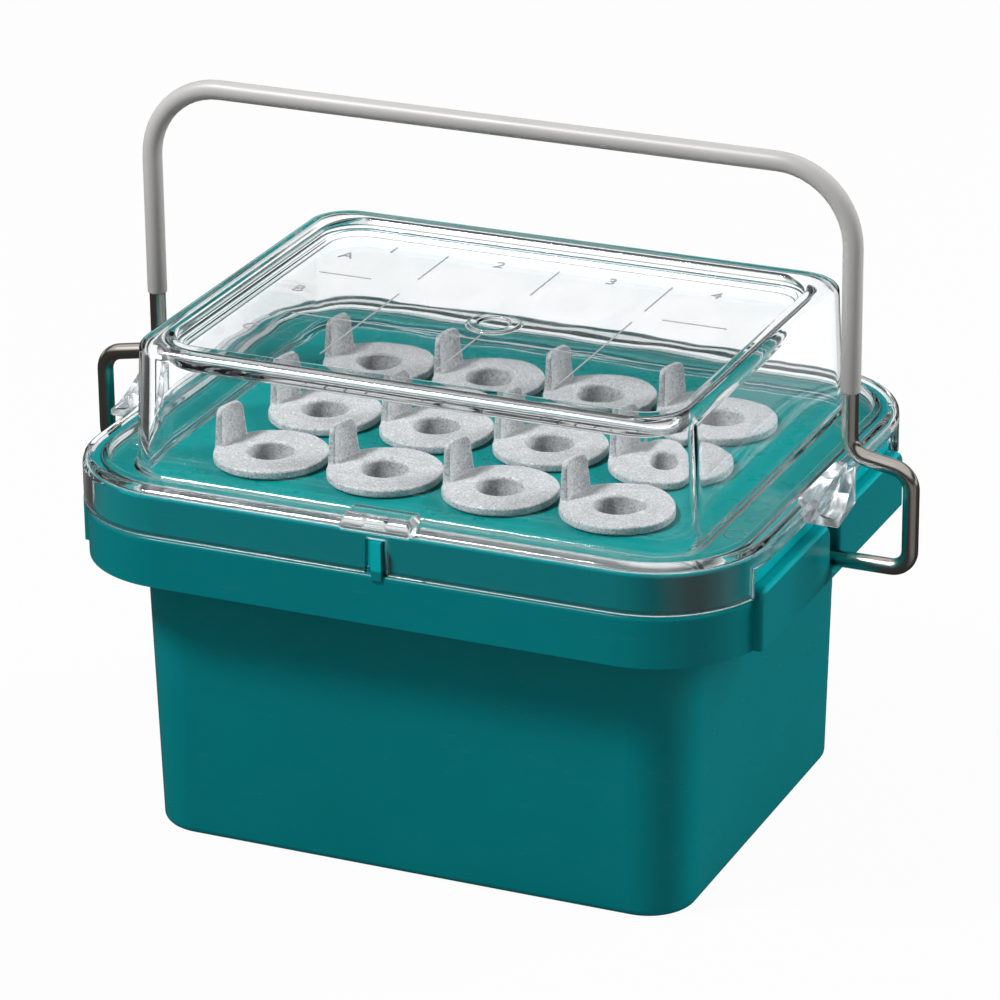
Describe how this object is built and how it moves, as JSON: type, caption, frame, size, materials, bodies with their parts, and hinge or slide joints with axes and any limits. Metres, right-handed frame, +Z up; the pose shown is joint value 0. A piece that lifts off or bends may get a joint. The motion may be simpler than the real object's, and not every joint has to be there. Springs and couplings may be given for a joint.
{
  "type": "benchtop cooler",
  "caption": "Insulated benchtop tub with a grid of tube wells, lift-out flanged tube holders, a clear domed lift-off lid and a swinging wire carry handle.",
  "frame": {"origin": "the middle of the face that the cooler stands on, at bench level", "axes": "+Z up, +X along the long side and the handle's hinge line, -Y towards the front of the picture"},
  "size_m": [0.2056, 0.1316, 0.1656],
  "materials": {
    "tub_teal": "glossy moulded plastic",
    "deck_teal": "glossy moulded plastic",
    "clear_lid": "clear polished plastic with a faint cool tint",
    "speckled_grey": "light grey plastic with fine dark specks",
    "grip_grey": "satin soft tube",
    "steel_wire": "drawn bright wire",
    "gel": "frozen gel filling",
    "plug": "plain moulded plastic"
  },
  "bodies": {
    "base": {"tub": "tub_teal", "deck": "deck_teal", "gel_core": "gel", "fill_plug": "plug", "well_a1": "deck_teal", "well_a2": "deck_teal", "well_a3": "deck_teal", "well_a4": "deck_teal", "well_b1": "deck_teal", "well_b2": "deck_teal", "well_b3": "deck_teal", "well_b4": "deck_teal", "well_c1": "deck_teal", "well_c2": "deck_teal", "well_c3": "deck_teal", "well_c4": "deck_teal"},
    "handle": {"bail_wire": "steel_wire", "bail_grip": "grip_grey"},
    "lid_body": {"lid": "clear_lid"},
    "holder_a1": {"insert_a1": "speckled_grey"},
    "holder_a2": {"insert_a2": "speckled_grey"},
    "holder_a3": {"insert_a3": "speckled_grey"},
    "holder_a4": {"insert_a4": "speckled_grey"},
    "holder_b1": {"insert_b1": "speckled_grey"},
    "holder_b2": {"insert_b2": "speckled_grey"},
    "holder_b3": {"insert_b3": "speckled_grey"},
    "holder_b4": {"insert_b4": "speckled_grey"},
    "holder_c1": {"insert_c1": "speckled_grey"},
    "holder_c2": {"insert_c2": "speckled_grey"},
    "holder_c3": {"insert_c3": "speckled_grey"},
    "holder_c4": {"insert_c4": "speckled_grey"}
  },
  "joints": [
    {"name": "handle_swing", "type": "hinge", "parent": "base", "child": "handle", "pos_m": [0, 0, 0.0714], "axis": [-1, 0, 0], "range_deg": [0, 135]},
    {"name": "lid_lift", "type": "slide", "parent": "base", "child": "lid_body", "axis": [0, 0, 1], "range_m": [0, 0.022]},
    {"name": "lift_a1", "type": "slide", "parent": "base", "child": "holder_a1", "axis": [0, 0, 1], "range_m": [0, 0.012]},
    {"name": "lift_a2", "type": "slide", "parent": "base", "child": "holder_a2", "axis": [0, 0, 1], "range_m": [0, 0.012]},
    {"name": "lift_a3", "type": "slide", "parent": "base", "child": "holder_a3", "axis": [0, 0, 1], "range_m": [0, 0.012]},
    {"name": "lift_a4", "type": "slide", "parent": "base", "child": "holder_a4", "axis": [0, 0, 1], "range_m": [0, 0.012]},
    {"name": "lift_b1", "type": "slide", "parent": "base", "child": "holder_b1", "axis": [0, 0, 1], "range_m": [0, 0.012]},
    {"name": "lift_b2", "type": "slide", "parent": "base", "child": "holder_b2", "axis": [0, 0, 1], "range_m": [0, 0.012]},
    {"name": "lift_b3", "type": "slide", "parent": "base", "child": "holder_b3", "axis": [0, 0, 1], "range_m": [0, 0.012]},
    {"name": "lift_b4", "type": "slide", "parent": "base", "child": "holder_b4", "axis": [0, 0, 1], "range_m": [0, 0.012]},
    {"name": "lift_c1", "type": "slide", "parent": "base", "child": "holder_c1", "axis": [0, 0, 1], "range_m": [0, 0.012]},
    {"name": "lift_c2", "type": "slide", "parent": "base", "child": "holder_c2", "axis": [0, 0, 1], "range_m": [0, 0.012]},
    {"name": "lift_c3", "type": "slide", "parent": "base", "child": "holder_c3", "axis": [0, 0, 1], "range_m": [0, 0.012]},
    {"name": "lift_c4", "type": "slide", "parent": "base", "child": "holder_c4", "axis": [0, 0, 1], "range_m": [0, 0.012]}
  ]
}
